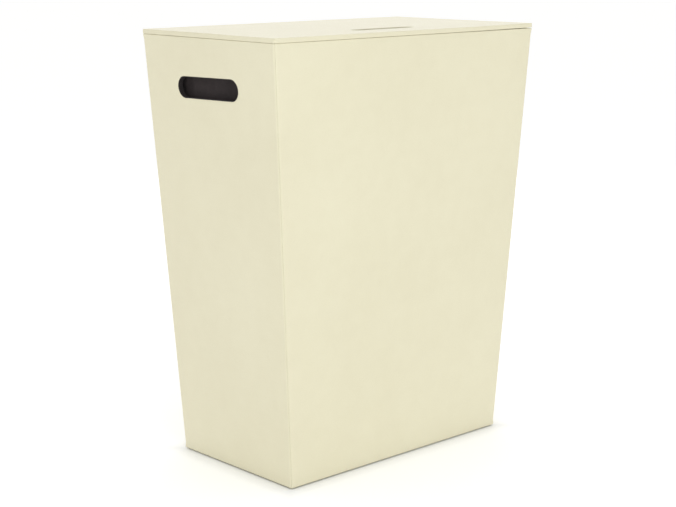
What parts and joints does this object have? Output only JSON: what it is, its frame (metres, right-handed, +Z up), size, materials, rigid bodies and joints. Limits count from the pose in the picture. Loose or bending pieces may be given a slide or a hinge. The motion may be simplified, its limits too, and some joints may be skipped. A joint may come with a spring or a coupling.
{
  "type": "laundry hamper",
  "caption": "Tapered upright laundry hamper of leather-wrapped panels with a hinged slotted lid, side hand holes and a removable cloth bag.",
  "frame": {"origin": "middle of the footprint, at the height that the feet stand on", "axes": "+Z up, +X along the long side, +Y towards the rear, where the lid is hinged"},
  "size_m": [0.488, 0.276, 0.6],
  "materials": {
    "cream_leather": "fine-grained coated cream leather, low sheen",
    "fibreboard": "raw medium-density fibreboard",
    "batten_wood": "planed softwood",
    "pin_steel": "bright drawn wire",
    "lining_cloth": "dark brown woven lining, matte",
    "liner_plastic": "dark brown moulded sleeve, matte",
    "underside_sheet": "black non-woven sheet",
    "foot_rubber": "grey-black rubber, matte",
    "bumper_rubber": "smoky clear silicone dots",
    "hook_tape": "dark hook tape, fine stiff hooks",
    "loop_tape": "dark loop tape, brushed pile",
    "bag_cloth": "dark brown plain-woven cotton",
    "webbing": "dark brown ribbed webbing"
  },
  "bodies": {
    "hamper_body": {"bag_handle_left": "webbing", "bag_handle_right": "webbing", "bag_loop_tape": "loop_tape", "base_board": "fibreboard", "base_cover": "underside_sheet", "base_lining": "lining_cloth", "base_pins": "pin_steel", "batten_front_left": "batten_wood", "batten_front_right": "batten_wood", "batten_pins": "pin_steel", "batten_rear_left": "batten_wood", "batten_rear_right": "batten_wood", "foot_pad_front_left": "foot_rubber", "foot_pad_front_right": "foot_rubber", "foot_pad_rear_left": "foot_rubber", "foot_pad_rear_right": "foot_rubber", "front_board": "fibreboard", "front_cover": "cream_leather", "front_lining": "lining_cloth", "hinge_flap_wall": "cream_leather", "hook_tape_front": "hook_tape", "hook_tape_left": "hook_tape", "hook_tape_rear": "hook_tape", "hook_tape_right": "hook_tape", "laundry_bag": "bag_cloth", "left_board": "fibreboard", "left_cover": "cream_leather", "left_hand_hole_liner": "liner_plastic", "left_lining": "lining_cloth", "rear_board": "fibreboard", "rear_cover": "cream_leather", "rear_lining": "lining_cloth", "right_board": "fibreboard", "right_cover": "cream_leather", "right_hand_hole_liner": "liner_plastic", "right_lining": "lining_cloth"},
    "lid": {"hinge_flap_lid": "cream_leather", "lid_board": "fibreboard", "lid_bumper_front_left": "bumper_rubber", "lid_bumper_front_right": "bumper_rubber", "lid_bumper_rear_left": "bumper_rubber", "lid_bumper_rear_right": "bumper_rubber", "lid_cover": "cream_leather", "lid_lining": "lining_cloth"}
  },
  "joints": [
    {"name": "lid_hinge", "type": "hinge", "parent": "hamper_body", "child": "lid", "pos_m": [0, 0.138, 0.5937], "axis": [-1, 0, 0], "range_deg": [0, 175]}
  ]
}
